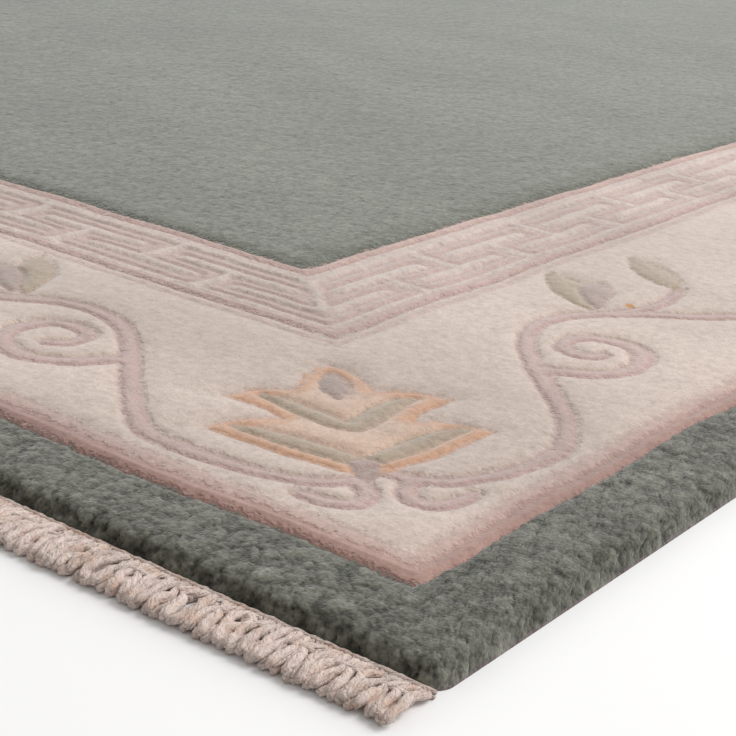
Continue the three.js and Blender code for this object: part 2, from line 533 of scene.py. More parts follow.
def fret_places(length, steps, step):
    """Places along one side at the edges and middles of the fret's stems and heads, and across its corner."""
    offsets = [0.0, step / 2]
    for side in (1, -1):
        offsets += [side * FRET_HALF_STEM, side * FRET_HEAD_SHORT]
        offsets.append(side * (FRET_HALF_STEM + FRET_HEAD_SHORT) / 2)
        offsets.append(side * (FRET_HEAD_SHORT + FRET_HEAD_BESIDE))
    places = [FRET_START + number * step + offset for number in range(steps + 1) for offset in offsets]
    places = [place for place in places if FRET_CORNER < place <= length]
    return np.array(sorted(places + [lane for lane in fret_lanes if lane < FRET_CORNER]))


def grid_points(low, high, step):
    """A grid of fill points with every other row shifted by half a step."""
    across = np.arange(low[0], high[0], step)
    along = np.arange(low[1], high[1], step * ROW_SHARE)
    return np.array([(a + (row % 2) * step / 2, b) for row, b in enumerate(along) for a in across])


def thinned(batches):
    """Points in order of weight, each batch kept clear of those before it by its own gap."""
    taken = {}
    kept = []
    for gap, points in batches:
        reach = int(math.ceil(gap / THIN_CELL))
        spread = range(-reach, reach + 1)
        for a, b in points.tolist():
            on_edge = a in (-SIDE_BAND, QUARTER_X) or b in (-END_BAND, QUARTER_Y)
            inside = EDGE_CLEAR - SIDE_BAND < a < QUARTER_X - EDGE_CLEAR
            inside = inside and EDGE_CLEAR - END_BAND < b < QUARTER_Y - EDGE_CLEAR
            within = -SIDE_BAND <= a <= QUARTER_X and -END_BAND <= b <= QUARTER_Y
            if not within or not (inside or on_edge):
                continue
            column, row = int(a // THIN_CELL), int(b // THIN_CELL)
            near = (spot for x in spread for y in spread for spot in taken.get((column + x, row + y), ()))
            if all((a - x) ** 2 + (b - y) ** 2 >= gap * gap for x, y in near):
                taken.setdefault((column, row), []).append((a, b))
                kept.append((a, b))
    return kept


edge_run_long = even_steps(-END_BAND, QUARTER_Y, BAND_STEP)
edge_run_short = even_steps(-SIDE_BAND, QUARTER_X, BAND_STEP)
edge_points = np.vstack([
    np.column_stack([np.full(len(edge_run_long), -SIDE_BAND), edge_run_long]),
    np.column_stack([edge_run_short, np.full(len(edge_run_short), -END_BAND)]),
])
outer_places = {
    "long": QUARTER_Y - STRIPE_STEP * np.arange(int(QUARTER_Y / STRIPE_STEP) + 4),
    "short": QUARTER_X - STRIPE_STEP * np.arange(int(QUARTER_X / STRIPE_STEP) + 4),
}
fret_lanes = [FRET_OUTER_RAIL, *FRET_INNER_HEAD, *FRET_OUTER_HEAD, FRET_INNER_RAIL]
fret_lanes += [(low + high) / 2 for low, high in zip(fret_lanes, fret_lanes[1:])]
fret_lanes += [lane + out for lane in fret_lanes[:6] for out in (-EDGE_BESIDE, EDGE_BESIDE)]
inner_places = {
    "long": fret_places(QUARTER_Y, FRET_STEPS_LONG, fret_step_long),
    "short": fret_places(QUARTER_X, FRET_STEPS_SHORT, fret_step_short),
}
carved_points, shoulder_points = [], []
for line in CARVED_LINES:
    places = outer_places if line["inward"] < FRET_LINES_FROM else inner_places
    carved_points.append(ring_points(line["inward"], places))
    for side in (-1, 1):
        shoulder_points.append(ring_points(line["inward"] + side * line["half_width"], places))
fret_points = [ring_points(lane, inner_places) for lane in fret_lanes]
band_points = [ring_points(-inset, outer_places) for inset in BAND_RINGS]
middle_points = np.vstack([
    [(QUARTER_X, along) for along in np.linspace(-END_BAND, QUARTER_Y, MIDDLE_POINTS[1])],
    [(across, QUARTER_Y) for across in np.linspace(-SIDE_BAND, QUARTER_X, MIDDLE_POINTS[0])],
])
quarter_points = thinned([
    (FEATURE_GAP, edge_points),
    (FEATURE_GAP, np.vstack(carved_points)),
    (FEATURE_GAP, np.vstack([outline_points(outline, OUTLINE_RUN) for outline in outlines])),
    (FEATURE_GAP, np.vstack([stroke_points(stroke) for yarn in strokes.values() for stroke in yarn])),
    (FEATURE_GAP, np.vstack(fret_points)),
    (FEATURE_GAP, np.vstack(shoulder_points)),
    (BAND_GAP, np.vstack([*band_points, middle_points])),
    (BORDER_GAP, grid_points((BORDER_FILL[0], BORDER_FILL[0]), (QUARTER_X, BORDER_FILL[1]), BORDER_STEP)),
    (BORDER_GAP, grid_points(BORDER_FILL, (BORDER_FILL[1], QUARTER_Y), BORDER_STEP)),
    (FIELD_GAP, grid_points((FIELD_FILL, FIELD_FILL), (QUARTER_X, QUARTER_Y), FIELD_STEP)),
])


def triangulated(points):
    """Points in the plan, and the triangles between them."""
    made = geometry.delaunay_2d_cdt([Vector(spot) for spot in points], [], [], 0, CUT_MERGE)
    return np.array([tuple(spot) for spot in made[0]]), np.array(made[2])


quarter_plan, quarter_faces = triangulated(quarter_points)


def groove(distance, half_width):
    """Depth share of a soft cut, 1 at its middle and 0 past its half width."""
    return np.clip(1.0 - np.abs(distance) / half_width, 0.0, 1.0) ** GROOVE_CURVE


def carved_depth(points, marks):
    """How deep the shears went at each point of the quarter."""
    inward = points.min(1)
    depth = np.zeros(len(points))
    for line in CARVED_LINES:
        depth = np.maximum(depth, line["depth"] * groove(inward - line["inward"], line["half_width"]))
    in_fret = (inward > FRET_OUTER_RAIL - FRET_REACH) & (inward < FRET_INNER_RAIL + FRET_REACH)
    fret_cut = FRET_DEPTH * groove(marks["fret"], FRET_HALF_GROOVE)
    fret_cut = np.maximum(fret_cut, FRET_GROUND_DROP * np.clip(-marks["fret"] / FRET_GROUND_RUN, 0.0, 1.0))
    depth = np.maximum(depth, np.where(in_fret, fret_cut, 0.0))
    for yarn in ("mauve", "peach", "grey", "lilac"):
        shown = np.clip(1.0 - marks["lilac"] / MOTIF_RUN, 0.0, 1.0) if yarn == "grey" else 1.0
        depth = np.maximum(depth, MOTIF_DEPTH * shown * groove(marks[yarn], MOTIF_HALF_GROOVE))
    return np.maximum(depth, VINE_DROP * np.clip(marks["mauve"] / MOTIF_RUN, 0.0, 1.0))


marks = {"fret": inside_fret(quarter_plan), "peach": inside_peach(quarter_plan)}
for yarn in strokes:
    marks[yarn] = inside_yarn(quarter_plan, yarn)
depth = carved_depth(quarter_plan, marks)
from_edge = np.minimum(quarter_plan[:, 0] + SIDE_BAND, quarter_plan[:, 1] + END_BAND)
marks["inward"] = quarter_plan.min(1)
band_share = np.clip(0.5 - marks["inward"] / BAND_DROP_RUN, 0.0, 1.0)
quarter_height = np.interp(from_edge, EDGE_INSET[1:], EDGE_HEIGHT[1:])
quarter_height = np.maximum(quarter_height - np.maximum(depth, band_share * BAND_DROP), LOWEST_PILE)

# The quarter and its mirror images, joined along the rug's middle lines
plan_parts, face_parts = [], []
for flip_x, flip_y in ((1, 1), (-1, 1), (-1, -1), (1, -1)):
    spots = (np.array([QUARTER_X, QUARTER_Y]) - quarter_plan) * (flip_x, flip_y)
    turned = quarter_faces if flip_x * flip_y > 0 else quarter_faces[:, ::-1]
    face_parts.append(turned + len(quarter_plan) * len(plan_parts))
    plan_parts.append(spots)
all_plan = np.vstack(plan_parts)
plan_keys = np.round(all_plan * 1000).astype(np.int64)
first, joined = np.unique(plan_keys, axis=0, return_index=True, return_inverse=True)[1:]
top_plan = all_plan[first]
top_faces = joined.reshape(-1)[np.vstack(face_parts)]
source = first % len(quarter_plan)
unevenness = np.array([noise.noise(Vector((x, y, 3.0)) / UNEVEN_SIZE) for x, y in top_plan])
top_height = quarter_height[source] + UNEVEN_HEIGHT * unevenness
top_height = np.minimum(top_height, PILE_TOP + HIGHEST_RISE)


def waver(plan):
    """How far hand-knotted lines stray from the plan; all lines stray together, and the rug's edge stays."""
    shift = np.zeros(plan.shape)
    for row in WAVERS:
        for axis, layer in enumerate(WAVER_LAYERS):
            drift = [noise.noise(Vector((x / row["size"], y / row["size"], layer))) for x, y in plan]
            shift[:, axis] += row["shift"] * np.array(drift)
    edge_gap = np.min((RUG_HALF_X, RUG_HALF_Y) - np.abs(plan), axis=1)
    return shift * np.clip(edge_gap / SIDE_BAND, 0.0, 1.0)[:, None]


# The edge runs down to the floor, and the woven back closes the rug underneath
rim_gap = (RUG_HALF_X, RUG_HALF_Y) - np.abs(top_plan)
rim = np.nonzero((np.abs(rim_gap) < 1e-6).any(1))[0]
scaled = top_plan[rim] / (RUG_HALF_X, RUG_HALF_Y)
square = np.abs(scaled[:, 1]) >= np.abs(scaled[:, 0])
around = np.where(
    square, np.where(scaled[:, 1] < 0, scaled[:, 0], 4 - scaled[:, 0]),
    np.where(scaled[:, 0] > 0, 2 + scaled[:, 1], 6 - scaled[:, 1]),
)
rim = rim[np.argsort(around)]
rim_count = len(rim)
back_grid = np.array([
    (x, y)
    for x in np.arange(BACK_MARGINS[0] - RUG_HALF_X, RUG_HALF_X - BACK_MARGINS[1], BACK_STEP)
    for y in np.arange(BACK_MARGINS[0] - RUG_HALF_Y, RUG_HALF_Y - BACK_MARGINS[1], BACK_STEP)
])
back_plan, back_faces = triangulated(np.vstack([top_plan[rim], back_grid]))
back_faces = back_faces[:, ::-1] + len(top_plan)
wall_next = np.roll(np.arange(rim_count), -1)
wall_low = len(top_plan) + np.arange(rim_count)
wall_faces = np.vstack([
    np.column_stack([wall_low, wall_low[wall_next], rim[wall_next]]),
    np.column_stack([wall_low, rim[wall_next], rim]),
])


def mesh_object(name, points, faces, flat_from=None):
    """An object from arrays of points, in metres, and triangles; those from flat_from on are shaded flat."""
    mesh = bpy.data.meshes.new(name)
    mesh.vertices.add(len(points))
    mesh.vertices.foreach_set("co", np.asarray(points, np.float32).ravel())
    mesh.loops.add(faces.size)
    mesh.loops.foreach_set("vertex_index", np.asarray(faces, np.int32).ravel())
    mesh.polygons.add(len(faces))
    mesh.polygons.foreach_set("loop_start", np.arange(0, faces.size, 3, dtype=np.int32))
    smooth = np.ones(len(faces), bool)
    if flat_from is not None:
        smooth[flat_from:] = False
    mesh.polygons.foreach_set("use_smooth", smooth)
    mesh.update(calc_edges=True)
    mesh.validate()
    made = bpy.data.objects.new(name, mesh)
    bpy.context.scene.collection.objects.link(made)
    return made


def add_mark(piece, name, values):
    """A number or a place stored at every point of a mesh, for its material."""
    values = np.asarray(values, np.float32)
    kind, field = ("FLOAT", "value") if values.ndim == 1 else ("FLOAT_VECTOR", "vector")
    mark = piece.data.attributes.new(name, kind, "POINT")
    mark.data.foreach_set(field, values.ravel())


rug_points = np.vstack([
    np.column_stack([top_plan + waver(top_plan), top_height]),
    np.column_stack([back_plan, np.zeros(len(back_plan))]),
]) * MM
rug_reach = np.array([RUG_HALF_X - RIM_INSET, RUG_HALF_Y - RIM_INSET]) * MM
rug_points[:, :2] = np.clip(rug_points[:, :2], -rug_reach, rug_reach)
rug_faces = np.vstack([top_faces, wall_faces, back_faces])
pile_rug = mesh_object("carved_pile", rug_points, rug_faces, len(top_faces))
for name, values in marks.items():
    add_mark(pile_rug, name, np.r_[values[source], np.full(len(back_plan), -FAR)])

# Yarn colours from the edge band inwards: where each stripe starts, in from the pink stripe's outer edge
FIELD_FROM = 296.0
STRIPES = [
    {"stripe": "pink stripe", "from": 0.0, "colour": (157, 127, 118)},
    {"stripe": "pale pink stripe", "from": 11.0, "colour": (178, 154, 145)},
    {"stripe": "border ground", "from": 19.0, "colour": (188, 172, 162)},
    {"stripe": "beige line", "from": 194.0, "colour": (183, 164, 155)},
    {"stripe": "pale line", "from": 199.0, "colour": (188, 172, 163)},
    {"stripe": "mauve rail", "from": 204.0, "colour": (177, 154, 147)},
    {"stripe": "fret", "from": 213.0, "colour": None},
    {"stripe": "inner pink line", "from": 286.0, "colour": (180, 155, 147)},
    {"stripe": "field", "from": FIELD_FROM, "colour": (104, 107, 97)},
]
SAGE_EDGE = (86, 87, 79)
FRET_PALE = (188, 173, 165)
FRET_MAUVE = (178, 157, 150)
MOTIF_COLOURS = {
    "mauve": (175, 152, 146),
    "peach": (190, 151, 126),
    "grey": (164, 148, 131),
    "lilac": (160, 142, 135),
    "ochre": (184, 136, 88),
}
PEACH_INSIDE = (191, 166, 149)
STRAYS = [(12.0, 2.0), (5.0, 3.0), (1.8, 2.2)]
EDGE_SOFT = 1.5
PINK_SOFT = 3.6
FRET_SOFT = 3.2
PEACH_RIM = (4.0, 11.0)
FRET_CUT = (4.0, 0.5)
LINE_CUT_HALF_WIDTH = 3.0
DEEPEST_LINE = 2.4
MOTIF_CUT_HALF_WIDTH = 3.2
MOTIF_CUTS = {"mauve": 0.6, "peach": 0.32, "grey": 0.32, "lilac": 0.32}
FIELD_BLEND = 6.0
WEFT_SCALE = (0.16, 1.0, 1.0)
BRUSHED_SCALE = (0.55, 1.0, 1.0)
BRUSHED_SIZE = 130.0
BRUSHED_LAY_SHADE = (0.91, 1.09)
CREASE_SIZE = 11.0
CREASE_SHADE = (1.0, 0.92)
LUMP_SIZE = 15.0
ROW_KNOT_SIZE = 4.2
FIBRE_SIZE = 1.4
GAP_SIZE = 6.5
GAP_SHADE = 0.25
GRAIN_HEIGHTS = {"lumps": 2.0, "knots": 1.0, "fibres": 0.7}
CLOUD_RANGE = (0.3, 0.7)
SPARSE_RANGE = (0.60, 0.74)
CUT_DEEP_WOOL_AND_SHADE = (0.90, 0.81, 0.80)
CUT_BUMP = 0.7
GRAIN_CONTRAST = (0.5, 1.8)
GRAIN_BUMP = (0.34, 0.62)
WOOL_SHEEN = 0.45
WOOL_SHEEN_ROUGHNESS = 0.4


def dyed(colour):
    """A yarn colour given in display values from 0 to 255, as linear light."""
    shares = [value / 255 for value in colour]
    light = [share / 12.92 if share <= 0.04045 else ((share + 0.055) / 1.055) ** 2.4 for share in shares]
    return (*light, 1.0)


def calc(tree, operation, *values):
    """One arithmetic node; gives its output."""
    return add_node(tree, "ShaderNodeMath", dict(enumerate(values)), operation=operation).outputs[0]


def ease(tree, value, low, high, to_low=0.0, to_high=1.0):
    """A smooth step between two values."""
    limits = {"Value": value, "From Min": low, "From Max": high, "To Min": to_low, "To Max": to_high}
    return add_node(tree, "ShaderNodeMapRange", limits, interpolation_type="SMOOTHSTEP").outputs["Result"]


def mix_colour(tree, share, first, second, blend="MIX"):
    """A mix of two colours; gives its output."""
    inputs = {0: share, 6: first, 7: second}
    return add_node(tree, "ShaderNodeMix", inputs, data_type="RGBA", blend_type=blend).outputs[2]


def toned(tree, colour, tone):
    """A colour made lighter or darker by a value."""
    grey = add_node(tree, "ShaderNodeCombineColor", {"Red": tone, "Green": tone, "Blue": tone})
    return mix_colour(tree, 1.0, colour, grey.outputs["Color"], "MULTIPLY")


def dress_shader(tree, shader, colour, relief, bump, surface):
    """The colour, the bump in millimetres and the surface values of a material."""
    raised = add_node(tree, "ShaderNodeBump", {"Height": relief, "Strength": 1.0, "Distance": bump * MM})
    tree.links.new(colour, shader.inputs["Base Color"])
    tree.links.new(raised.outputs["Normal"], shader.inputs["Normal"])
    for name, value in surface.items():
        shader.inputs[name].default_value = value


def cloud(tree, position, size, detail=2.0):
    """Soft noise of a size in millimetres; gives values around a half."""
    inputs = {"Vector": position, "Scale": 1.0 / (size * MM), "Detail": detail}
    return add_node(tree, "ShaderNodeTexNoise", inputs).outputs["Fac"]


def new_group(name, inputs, outputs):
    """A shader node group with named inputs and outputs, and its two end nodes."""
    group = bpy.data.node_groups.new(name, "ShaderNodeTree")
    for socket, kind in inputs:
        group.interface.new_socket(name=socket, in_out="INPUT", socket_type=kind)
    for socket, kind in outputs:
        group.interface.new_socket(name=socket, in_out="OUTPUT", socket_type=kind)
    return group, group.nodes.new("NodeGroupInput"), group.nodes.new("NodeGroupOutput")


# Grain of spun wool: the ends of the knots, loose fibres between them and a few dark gaps of painted shade
# between the knots
wool_grain, grain_in, grain_out = new_group(
    "wool_grain",
    [("Position", "NodeSocketVector"), ("Contrast", "NodeSocketFloat")],
    [("Shade", "NodeSocketFloat"), ("Height", "NodeSocketFloat")],
)
grain_place = grain_in.outputs["Position"]
lumps = cloud(wool_grain, grain_place, LUMP_SIZE, 1.0)
knots = cloud(wool_grain, grain_place, ROW_KNOT_SIZE)
fibres = cloud(wool_grain, grain_place, FIBRE_SIZE, 3.0)
gaps = ease(wool_grain, cloud(wool_grain, grain_place, GAP_SIZE), *SPARSE_RANGE)
knot_part = calc(wool_grain, "SUBTRACT", knots, 0.5)
fibre_part = calc(wool_grain, "SUBTRACT", fibres, 0.5)
grain_sum = calc(wool_grain, "ADD", knot_part, fibre_part)
grain_sum = calc(wool_grain, "SUBTRACT", grain_sum, calc(wool_grain, "MULTIPLY", gaps, GAP_SHADE))
shade = calc(wool_grain, "MULTIPLY_ADD", grain_sum, grain_in.outputs["Contrast"], 1.0)
wool_grain.links.new(shade, grain_out.inputs["Shade"])
height = calc(wool_grain, "MULTIPLY", fibres, GRAIN_HEIGHTS["fibres"])
height = calc(wool_grain, "MULTIPLY_ADD", lumps, GRAIN_HEIGHTS["lumps"], height)
height = calc(wool_grain, "MULTIPLY_ADD", knots, GRAIN_HEIGHTS["knots"], height)
wool_grain.links.new(height, grain_out.inputs["Height"])

pile_wool, pile_tree, pile_shader = new_material("carved_wool")
place = add_node(pile_tree, "ShaderNodeTexCoord").outputs["Object"]
stray = 0.0
for size, reach in STRAYS:
    swing = calc(pile_tree, "MULTIPLY_ADD", cloud(pile_tree, place, size), 2 * reach, -reach)
    stray = calc(pile_tree, "ADD", swing, stray)


def stored_mark(name):
    """A distance stored at the points of the pile, with stray tufts."""
    stored = add_node(pile_tree, "ShaderNodeAttribute", attribute_name=name).outputs["Fac"]
    return calc(pile_tree, "ADD", stored, stray)


def cut_along(distance, half_width, depth):
    """A shears cut where the distance is zero; gives its depth."""
    return ease(pile_tree, calc(pile_tree, "ABSOLUTE", distance), 0.0, half_width, depth, 0.0)


inward = stored_mark("inward")
yarn_inside = {yarn: stored_mark(yarn) for yarn in ("fret", *MOTIF_COLOURS)}
yarn_share = {yarn: ease(pile_tree, yarn_inside[yarn], -EDGE_SOFT, EDGE_SOFT) for yarn in MOTIF_COLOURS}
pale_share = ease(pile_tree, yarn_inside["fret"], -FRET_SOFT, FRET_SOFT)
fret_colour = mix_colour(pile_tree, pale_share, dyed(FRET_MAUVE), dyed(FRET_PALE))
pile_colour = dyed(SAGE_EDGE)
for stripe in STRIPES:
    soft = PINK_SOFT if stripe["stripe"] in ("pale pink stripe", "border ground") else EDGE_SOFT
    edge = ease(pile_tree, inward, stripe["from"] - soft, stripe["from"] + soft)
    colour = dyed(stripe["colour"]) if stripe["colour"] else fret_colour
    pile_colour = mix_colour(pile_tree, edge, pile_colour, colour)
for yarn, colour in MOTIF_COLOURS.items():
    colour = dyed(colour)
    if yarn == "peach":
        heart = ease(pile_tree, yarn_inside[yarn], *PEACH_RIM)
        colour = mix_colour(pile_tree, heart, colour, dyed(PEACH_INSIDE))
    pile_colour = mix_colour(pile_tree, yarn_share[yarn], pile_colour, colour)

cuts = cut_along(yarn_inside["fret"], *FRET_CUT)
for line in CARVED_LINES:
    from_line = calc(pile_tree, "SUBTRACT", inward, line["inward"])
    cut = cut_along(from_line, LINE_CUT_HALF_WIDTH, line["depth"] / DEEPEST_LINE)
    cuts = calc(pile_tree, "MAXIMUM", cuts, cut)
for yarn, depth in MOTIF_CUTS.items():
    cut = cut_along(yarn_inside[yarn], MOTIF_CUT_HALF_WIDTH, depth)
    if yarn == "grey":
        cut = calc(pile_tree, "MULTIPLY", cut, calc(pile_tree, "SUBTRACT", 1.0, yarn_share["lilac"]))
    cuts = calc(pile_tree, "MAXIMUM", cuts, cut)

in_field = ease(pile_tree, inward, FIELD_FROM, FIELD_FROM + FIELD_BLEND)
contrast = ease(pile_tree, in_field, 0.0, 1.0, *GRAIN_CONTRAST)
grain = add_node(pile_tree, "ShaderNodeGroup", node_tree=wool_grain)
pile_tree.links.new(place, grain.inputs["Position"])
pile_tree.links.new(contrast, grain.inputs["Contrast"])
weft_place = add_node(pile_tree, "ShaderNodeMapping", {"Vector": place, "Scale": WEFT_SCALE}).outputs["Vector"]
pile_place = add_node(pile_tree, "ShaderNodeMapping", {"Vector": place, "Scale": BRUSHED_SCALE}).outputs["Vector"]
# Broad patches of painted shade and light where the brushed pile lies different ways.
brushed_lay_shade = cloud(pile_tree, pile_place, BRUSHED_SIZE, 3.0)
brushed_lay_shade = ease(pile_tree, brushed_lay_shade, *CLOUD_RANGE, *BRUSHED_LAY_SHADE)
# Thin lines of painted shade where the pile parts along the weft.
crease_shade = ease(pile_tree, cloud(pile_tree, weft_place, CREASE_SIZE), *SPARSE_RANGE, *CREASE_SHADE)
tone = calc(pile_tree, "MULTIPLY", grain.outputs["Shade"], brushed_lay_shade)
tone = calc(pile_tree, "MULTIPLY", tone, crease_shade)
pile_colour = toned(pile_tree, pile_colour, tone)
# The cuts are painted darker and pinker: partly the deeper wool inside a cut, partly painted shade in the groove.
pile_colour = mix_colour(pile_tree, cuts, pile_colour, (*CUT_DEEP_WOOL_AND_SHADE, 1.0), "MULTIPLY")
grain_bump = ease(pile_tree, in_field, 0.0, 1.0, *GRAIN_BUMP)
relief = calc(pile_tree, "MULTIPLY", grain.outputs["Height"], grain_bump)
relief = calc(pile_tree, "MULTIPLY_ADD", cuts, -CUT_BUMP, relief)
WOOL_SURFACE = {
    "Roughness": 1.0,
    "Specular IOR Level": 0.1,
    "Sheen Weight": WOOL_SHEEN,
    "Sheen Roughness": WOOL_SHEEN_ROUGHNESS,
}
dress_shader(pile_tree, pile_shader, pile_colour, relief, 1.0, WOOL_SURFACE)
pile_rug.data.materials.append(pile_wool)

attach(pile_rug, "root")
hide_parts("pile_rug")


# Edge band
# The dark band round the rug is left uncarved, so its wool opens into soft tufts with clefts between them. They
# cover the rounded edge and hang down its side to the selvedge. Each side of the band is one closed mesh.
FLEECE_STEP = 1.55
SIDE_FLEECE = SIDE_BAND + 5.0
BAND_CONTRAST = 1.5
BAND_CLEFT_SHADE_RANGE = (-1.3, -0.3)
BAND_TIP_HIGHLIGHT_RANGE = (-0.3, 0.4)
SELVEDGE_HEIGHTS = (0.7 * MM, 1.5 * MM)
TUFT_TONES = (-0.4, 0.4, 0.90, 1.10)
BAND_PATCH_SIZE = 60.0
BAND_PATCH_TONE = (0.93, 1.07)
BAND_BUMP = 0.8
SELVEDGE_HEIGHT = 0.4
SELVEDGE_RISE = 4.0
CORNER_ROUND = 9.0
MITRE_SHARE = 0.25
TUFTS = [
    {"size": 8.0, "cleft": 0.55, "cleft_width": 0.30, "lift": 0.5},
    {"size": 3.4, "cleft": 0.50, "cleft_width": 0.30, "lift": 0.45},
]
TUFT_HANG = 0.45
TUFT_SEED = 7
noise.seed_set(TUFT_SEED)
TUFT_DRIFT = 3.0
TUFT_DRIFT_SIZE = 9.0
SIDE_RELIEF = 2.6
FUZZ = 0.30
BAND_CLEFT_SHADE = (60, 60, 53)
BAND_WOOL = (101, 101, 92)
BAND_TIP_HIGHLIGHT = (120, 120, 110)
SELVEDGE = (104, 94, 92)

# The fleece's section up from the floor, in from the outer edge as a share of the band's width; at its inner end
# it dips into the cut beside the pink stripe
MEAN_BAND = (SIDE_FLEECE + END_BAND) / 2
BAND_END_INSET = MEAN_BAND + np.array([-9.0, -4.5, -1.5, 0.8])
BAND_END_HEIGHT = PILE_TOP - np.array([0.0, 0.35, 1.5, 3.4])
fleece_inset = np.r_[0.0, EDGE_INSET[1:], BAND_END_INSET]
fleece_height = np.r_[SELVEDGE_HEIGHT, EDGE_HEIGHT[1:], BAND_END_HEIGHT]
fleece_section = resample(np.column_stack([fleece_inset, fleece_height]), FLEECE_STEP)
fleece_run = np.gradient(fleece_section, axis=0)
fleece_out = np.column_stack([-fleece_run[:, 1], fleece_run[:, 0]])
fleece_out = fleece_out / np.linalg.norm(fleece_out, axis=1, keepdims=True)


def tuft_relief(spot):
    """How far the wool stands off its plain surface at a spot in millimetres, and the tone of its tuft."""
    drifted = spot + TUFT_DRIFT * noise.noise_vector(spot / TUFT_DRIFT_SIZE)
    drifted.z *= TUFT_HANG
    relief = FUZZ * noise.noise(spot * 1.7)
    tone = 0.0
    for row in TUFTS:
        gaps, centres = noise.voronoi(drifted / row["size"])
        own = noise.noise(centres[0] * 5.3)
        relief += row["lift"] * own - row["cleft"] * math.exp(-(gaps[1] - gaps[0]) / row["cleft_width"])
        tone += own * row["lift"]
    return relief, tone


def round_corner(points):
    """Points in plan millimetres with the rug's four corners turned round."""
    inner = np.array([RUG_HALF_X, RUG_HALF_Y]) - CORNER_ROUND
    over = (np.abs(points[:, :2]) - inner) / CORNER_ROUND
    at_corner = (over > 0).all(1)
    turned = over * np.sqrt(np.maximum(1.0 - over[:, ::-1] ** 2 / 2, 0.0))
    moved = np.sign(points[:, :2]) * (inner + CORNER_ROUND * turned)
    rounded = points.copy()
    rounded[at_corner, :2] = moved[at_corner]
    return rounded


def fleece_side(name, half_length, half_width, band, other_band, quarter_turn):
    """One side of the band, mitred into its neighbours: a skin of tufts, closed underneath."""
    share = fleece_section[:, :1] / MEAN_BAND
    columns = np.linspace(-1.0, 1.0, int(2 * half_length / FLEECE_STEP))
    along = columns * (half_length - share * other_band)
    inset = np.broadcast_to(share * band, along.shape)
    height = np.broadcast_to(fleece_section[:, 1:], along.shape)
    turn = np.array(Matrix.Rotation(quarter_turn * math.pi / 2, 3, "Z"))
    plain = np.stack([along, inset - half_width, height], -1).reshape(-1, 3) @ turn.T
    found = np.array([tuft_relief(Vector(spot)) for spot in plain])
    # Outwards is shared with the next side along the mitre
    own = np.clip(((half_length - np.abs(along)) / other_band - share) / MITRE_SHARE, 0.0, 1.0) / 2 + 0.5
    low = np.clip((height - SELVEDGE_HEIGHT) / SELVEDGE_RISE, 0.0, 1.0)
    across = fleece_out[:, :1] * low * (1.0 + (SIDE_RELIEF - 1.0) * np.abs(fleece_out[:, :1]))
    way = np.stack([(own - 1.0) * across * np.sign(along), own * across, fleece_out[:, 1:] + 0.0 * along], -1)
    placed = plain + found[:, :1] * (way.reshape(-1, 3) @ turn.T)
    placed[:, :2] += waver(plain[:, :2])
    placed = round_corner(placed)
    placed[:, 2] = np.maximum(placed[:, 2], SELVEDGE_HEIGHT)
    rows, count = along.shape
    placed[:count, 2] = 0.0
    here = (np.arange(rows - 1)[:, None] * count + np.arange(count - 1)).ravel()
    last = (rows - 1) * count + np.arange(count - 1)
    first = np.arange(count - 1)
    faces = [np.column_stack([here, here + 1, here + count + 1])]
    faces.append(np.column_stack([here, here + count + 1, here + count]))
    faces += [np.column_stack([last, last + 1, first + 1]), np.column_stack([last, first + 1, first])]
    for end, order in ((0, 1), (count - 1, -1)):
        ladder = np.arange(rows) * count + end
        fan = np.column_stack([np.full(rows - 2, ladder[0]), ladder[1:-1], ladder[2:]])
        faces.append(fan[:, ::order])
    made = mesh_object(name, placed * MM, np.vstack(faces), 2 * len(here))
    # The skin's border is a hard edge, so that the closing faces don't darken it
    on_border = np.zeros((rows, count), bool)
    on_border[[0, -1]] = True
    on_border[:, [0, -1]] = True
    ends = np.empty(2 * len(made.data.edges), np.int32)
    made.data.edges.foreach_get("vertices", ends)
    made.data.edges.foreach_set("use_edge_sharp", on_border.ravel()[ends.reshape(-1, 2)].all(1))
    add_mark(made, "stand", found[:, 0])
    add_mark(made, "tone", found[:, 1])
    return made


band_wool, band_tree, band_shader = new_material("band_wool")
band_place = add_node(band_tree, "ShaderNodeTexCoord").outputs["Object"]
band_inputs = {"Position": band_place, "Contrast": BAND_CONTRAST}
band_grain = add_node(band_tree, "ShaderNodeGroup", band_inputs, node_tree=wool_grain)
tuft_stand = add_node(band_tree, "ShaderNodeAttribute", attribute_name="stand").outputs["Fac"]
tuft_tone = add_node(band_tree, "ShaderNodeAttribute", attribute_name="tone").outputs["Fac"]
# Painted shade darkens the wool deep in the clefts between the tufts.
out_of_cleft_shade = ease(band_tree, tuft_stand, *BAND_CLEFT_SHADE_RANGE)
band_colour = mix_colour(band_tree, out_of_cleft_shade, dyed(BAND_CLEFT_SHADE), dyed(BAND_WOOL))
# A painted highlight lightens the tufts where they stand out most.
band_colour = mix_colour(band_tree, ease(band_tree, tuft_stand, *BAND_TIP_HIGHLIGHT_RANGE), band_colour, dyed(BAND_TIP_HIGHLIGHT))
floor_gap = add_node(band_tree, "ShaderNodeSeparateXYZ", {"Vector": band_place}).outputs["Z"]
band_colour = mix_colour(band_tree, ease(band_tree, floor_gap, *SELVEDGE_HEIGHTS), dyed(SELVEDGE), band_colour)
band_tone = ease(band_tree, tuft_tone, *TUFT_TONES)
band_tone = calc(band_tree, "MULTIPLY", band_grain.outputs["Shade"], band_tone)
band_patch = ease(band_tree, cloud(band_tree, band_place, BAND_PATCH_SIZE), *CLOUD_RANGE, *BAND_PATCH_TONE)
band_tone = calc(band_tree, "MULTIPLY", band_tone, band_patch)
band_colour = toned(band_tree, band_colour, band_tone)
dress_shader(band_tree, band_shader, band_colour, band_grain.outputs["Height"], BAND_BUMP, WOOL_SURFACE)

